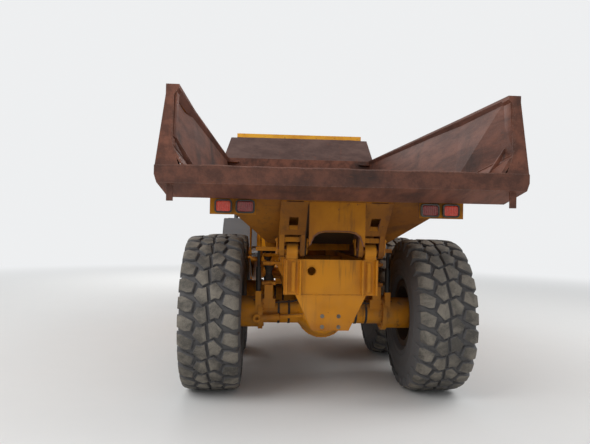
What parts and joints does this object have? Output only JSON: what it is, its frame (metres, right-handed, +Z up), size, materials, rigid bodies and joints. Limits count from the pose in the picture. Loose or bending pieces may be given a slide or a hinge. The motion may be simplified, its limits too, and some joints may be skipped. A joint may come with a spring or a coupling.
{
  "type": "articulated dump truck",
  "caption": "Articulated dump truck with an open scow-ended tipping body, a steering and rolling hitch, and three driven axles on lugged tyres.",
  "frame": {"origin": "on the ground, in the middle plane, midway between the bumper's face and the tail lip", "axes": "-Y to the front of the truck, +Y to the tail, +X to the truck's own left side, +Z up"},
  "size_m": [3.036, 9.7, 3.5],
  "materials": {
    "yellow_paint": "worn semi-gloss yellow-orange enamel",
    "body_steel": "scraped, rust-brown body steel",
    "dark_paint": "matt dark grey paint",
    "tyre_rubber": "dusty, worn black rubber",
    "spring_rubber": "matt black rubber",
    "rod_chrome": "polished cylinder rod",
    "engine_iron": "painted casting",
    "fender_plastic": "dark grey moulded plastic",
    "seat_fabric": "dark cloth",
    "cab_glass": "clear tinted glass",
    "lamp_clear": "clear lamp lens",
    "lamp_red": "red and orange lamp lens"
  },
  "bodies": {
    "tractor": {"front_frame": "yellow_paint", "front_bumper": "yellow_paint", "headlamps": "lamp_clear", "front_axle": "yellow_paint", "engine": "engine_iron", "radiator": "dark_paint", "fenders": "fender_plastic", "mudflaps": "spring_rubber", "platform": "yellow_paint", "cab_shell": "yellow_paint", "cab_glass": "cab_glass", "driver_seat": "seat_fabric", "dash_console": "fender_plastic", "exhaust_stack": "dark_paint", "air_cleaner": "dark_paint", "mirrors": "dark_paint", "ladder": "dark_paint", "fuel_tank": "yellow_paint"},
    "hood_cover": {"hood": "yellow_paint", "hood_grille": "dark_paint"},
    "door": {"cab_door": "yellow_paint", "cab_door_glass": "cab_glass"},
    "yoke": {"hitch": "yellow_paint"},
    "rear_chassis": {"rear_frame": "yellow_paint", "rear_axles": "yellow_paint", "bogie_beams": "yellow_paint", "rubber_springs": "spring_rubber", "dampers": "dark_paint", "driveshafts": "dark_paint"},
    "bed": {"dump_body": "body_steel", "spill_guard": "yellow_paint", "tail_lamps": "lamp_red"},
    "steer_cylinder_left": {"steer_barrel_left": "yellow_paint"},
    "steer_piston_left": {"steer_rod_left": "rod_chrome"},
    "hoist_cylinder_left": {"hoist_barrel_left": "yellow_paint"},
    "hoist_piston_left": {"hoist_rod_left": "rod_chrome"},
    "steer_cylinder_right": {"steer_barrel_right": "yellow_paint"},
    "steer_piston_right": {"steer_rod_right": "rod_chrome"},
    "hoist_cylinder_right": {"hoist_barrel_right": "yellow_paint"},
    "hoist_piston_right": {"hoist_rod_right": "rod_chrome"},
    "wheel_front_left": {"tyre_front_left": "tyre_rubber", "rim_front_left": "yellow_paint"},
    "wheel_front_right": {"tyre_front_right": "tyre_rubber", "rim_front_right": "yellow_paint"},
    "wheel_mid_left": {"tyre_mid_left": "tyre_rubber", "rim_mid_left": "yellow_paint"},
    "wheel_mid_right": {"tyre_mid_right": "tyre_rubber", "rim_mid_right": "yellow_paint"},
    "wheel_rear_left": {"tyre_rear_left": "tyre_rubber", "rim_rear_left": "yellow_paint"},
    "wheel_rear_right": {"tyre_rear_right": "tyre_rubber", "rim_rear_right": "yellow_paint"}
  },
  "joints": [
    {"name": "steer", "type": "hinge", "parent": "tractor", "child": "yoke", "pos_m": [0, -1.23, 1], "axis": [0, 0, 1], "range_deg": [-42, 42]},
    {"name": "roll", "type": "hinge", "parent": "yoke", "child": "rear_chassis", "pos_m": [0, -0.65, 1], "axis": [0, 1, 0], "range_deg": [-8, 8]},
    {"name": "tip", "type": "hinge", "parent": "rear_chassis", "child": "bed", "pos_m": [0, 4, 1.5], "axis": [-1, 0, 0], "range_deg": [0, 65]},
    {"name": "hood_lift", "type": "hinge", "parent": "tractor", "child": "hood_cover", "pos_m": [0, -4.65, 1.3], "axis": [1, 0, 0], "range_deg": [0, 60]},
    {"name": "door_swing", "type": "hinge", "parent": "tractor", "child": "door", "pos_m": [0.81, -3.02, 2.6], "axis": [0, 0, -1], "range_deg": [0, 80]},
    {"name": "steer_swing_left", "type": "hinge", "parent": "tractor", "child": "steer_cylinder_left", "pos_m": [0.36, -1.9, 0.87], "axis": [0, 0, 1], "range_deg": [-8, 8]},
    {"name": "steer_stroke_left", "type": "slide", "parent": "steer_cylinder_left", "child": "steer_piston_left", "axis": [-0.0937, 0.9956, 0], "range_m": [-0.213, 0.213]},
    {"name": "steer_swing_right", "type": "hinge", "parent": "tractor", "child": "steer_cylinder_right", "pos_m": [-0.36, -1.9, 0.87], "axis": [0, 0, 1], "range_deg": [-8, 8]},
    {"name": "steer_stroke_right", "type": "slide", "parent": "steer_cylinder_right", "child": "steer_piston_right", "axis": [0.0937, 0.9956, 0], "range_m": [-0.213, 0.213]},
    {"name": "hoist_swing_left", "type": "hinge", "parent": "rear_chassis", "child": "hoist_cylinder_left", "pos_m": [0.74, 0, 0.75], "axis": [1, 0, 0], "range_deg": [0, 21]},
    {"name": "hoist_stroke_left", "type": "slide", "parent": "hoist_cylinder_left", "child": "hoist_piston_left", "axis": [0, 0.9659, 0.2589], "range_m": [0, 1.17]},
    {"name": "hoist_swing_right", "type": "hinge", "parent": "rear_chassis", "child": "hoist_cylinder_right", "pos_m": [-0.74, 0, 0.75], "axis": [1, 0, 0], "range_deg": [0, 21]},
    {"name": "hoist_stroke_right", "type": "slide", "parent": "hoist_cylinder_right", "child": "hoist_piston_right", "axis": [0, 0.9659, 0.2589], "range_m": [0, 1.17]},
    {"name": "spin_front_left", "type": "hinge", "parent": "tractor", "child": "wheel_front_left", "pos_m": [1.15, -2.53, 0.81], "axis": [1, 0, 0], "continuous": true},
    {"name": "spin_front_right", "type": "hinge", "parent": "tractor", "child": "wheel_front_right", "pos_m": [-1.15, -2.53, 0.81], "axis": [1, 0, 0], "continuous": true},
    {"name": "spin_mid_left", "type": "hinge", "parent": "rear_chassis", "child": "wheel_mid_left", "pos_m": [1.15, 1.57, 0.81], "axis": [1, 0, 0], "continuous": true},
    {"name": "spin_mid_right", "type": "hinge", "parent": "rear_chassis", "child": "wheel_mid_right", "pos_m": [-1.15, 1.57, 0.81], "axis": [1, 0, 0], "continuous": true},
    {"name": "spin_rear_left", "type": "hinge", "parent": "rear_chassis", "child": "wheel_rear_left", "pos_m": [1.15, 3.3, 0.81], "axis": [1, 0, 0], "continuous": true},
    {"name": "spin_rear_right", "type": "hinge", "parent": "rear_chassis", "child": "wheel_rear_right", "pos_m": [-1.15, 3.3, 0.81], "axis": [1, 0, 0], "continuous": true}
  ],
  "couplings": [
    {"joint": "steer_swing_left", "follows": "steer", "ratio": 0.1769},
    {"joint": "steer_stroke_left", "follows": "steer", "m_per_rad": 0.2889},
    {"joint": "steer_swing_right", "follows": "steer", "ratio": 0.1769},
    {"joint": "steer_stroke_right", "follows": "steer", "m_per_rad": -0.2889},
    {"joint": "hoist_swing_left", "follows": "tip", "ratio": 0.3095},
    {"joint": "hoist_stroke_left", "follows": "tip", "m_per_rad": 1.026},
    {"joint": "hoist_swing_right", "follows": "tip", "ratio": 0.3095},
    {"joint": "hoist_stroke_right", "follows": "tip", "m_per_rad": 1.026}
  ]
}
